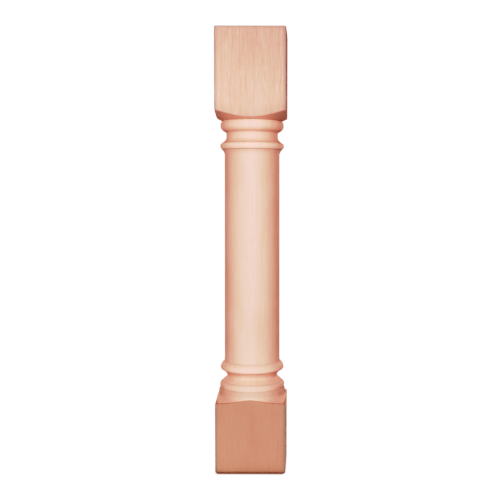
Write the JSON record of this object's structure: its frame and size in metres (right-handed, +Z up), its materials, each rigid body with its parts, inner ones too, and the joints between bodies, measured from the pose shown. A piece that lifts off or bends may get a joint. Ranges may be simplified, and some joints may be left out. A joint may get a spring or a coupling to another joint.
{
  "type": "turned baluster",
  "caption": "Stout turned wooden baluster: square head and foot blocks joined by a plain round shaft, with ring and bead mouldings at each end.",
  "frame": {"origin": "middle of the underside of the foot block", "axes": "+Z up along the post's axis; the blocks' faces look along X and Y, and -Y is the face that the picture shows"},
  "size_m": [0.14, 0.14, 0.876],
  "materials": {
    "wood": "bare, sanded, fine straight grain along the post"
  },
  "bodies": {
    "root": {"baluster": "wood"}
  },
  "joints": []
}
